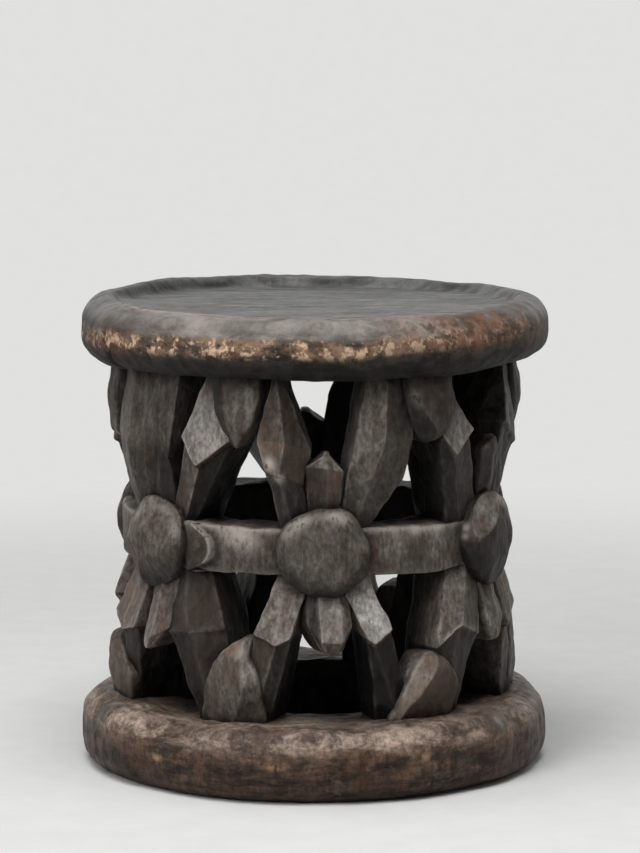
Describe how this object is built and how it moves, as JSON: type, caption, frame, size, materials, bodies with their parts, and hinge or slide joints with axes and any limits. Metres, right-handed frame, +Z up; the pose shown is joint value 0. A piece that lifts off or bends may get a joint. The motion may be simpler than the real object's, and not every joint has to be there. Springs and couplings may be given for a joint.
{
  "type": "carved stool",
  "caption": "Low round wooden stool carved from a log: a dished seat on an openwork cage of stylised spiders, with a ring base.",
  "frame": {"origin": "on the floor, in the middle of the stool's round outline", "axes": "+Z up along the log; -Y towards the spider at the front; +X to the right of somebody who faces that spider"},
  "size_m": [0.34, 0.34, 0.339],
  "materials": {
    "seat_wood": "dark patina, sheen on the seat, rim worn to brown",
    "cage_wood": "dark patina, knife cut, arrises rubbed pale",
    "base_wood": "dark brown, worn edge"
  },
  "bodies": {
    "root": {"seat": "seat_wood", "base_ring": "base_wood", "waist_hoop": "cage_wood", "front_body": "cage_wood", "front_head": "cage_wood", "front_tail": "cage_wood", "front_upper_left_leg": "cage_wood", "front_upper_right_leg": "cage_wood", "front_lower_left_leg": "cage_wood", "front_lower_right_leg": "cage_wood", "right_front_body": "cage_wood", "right_front_head": "cage_wood", "right_front_tail": "cage_wood", "right_front_upper_left_leg": "cage_wood", "right_front_upper_right_leg": "cage_wood", "right_front_lower_left_leg": "cage_wood", "right_front_lower_right_leg": "cage_wood", "right_back_body": "cage_wood", "right_back_head": "cage_wood", "right_back_tail": "cage_wood", "right_back_upper_left_leg": "cage_wood", "right_back_upper_right_leg": "cage_wood", "right_back_lower_left_leg": "cage_wood", "right_back_lower_right_leg": "cage_wood", "back_body": "cage_wood", "back_head": "cage_wood", "back_tail": "cage_wood", "back_upper_left_leg": "cage_wood", "back_upper_right_leg": "cage_wood", "back_lower_left_leg": "cage_wood", "back_lower_right_leg": "cage_wood", "left_back_body": "cage_wood", "left_back_head": "cage_wood", "left_back_tail": "cage_wood", "left_back_upper_left_leg": "cage_wood", "left_back_upper_right_leg": "cage_wood", "left_back_lower_left_leg": "cage_wood", "left_back_lower_right_leg": "cage_wood", "left_front_body": "cage_wood", "left_front_head": "cage_wood", "left_front_tail": "cage_wood", "left_front_upper_left_leg": "cage_wood", "left_front_upper_right_leg": "cage_wood", "left_front_lower_left_leg": "cage_wood", "left_front_lower_right_leg": "cage_wood", "upper_knot_front_right": "cage_wood", "lower_knot_front_right": "cage_wood", "upper_knot_right": "cage_wood", "lower_knot_right": "cage_wood", "upper_knot_back_right": "cage_wood", "lower_knot_back_right": "cage_wood", "upper_knot_back_left": "cage_wood", "lower_knot_back_left": "cage_wood", "upper_knot_left": "cage_wood", "lower_knot_left": "cage_wood", "upper_knot_front_left": "cage_wood", "lower_knot_front_left": "cage_wood"}
  },
  "joints": []
}
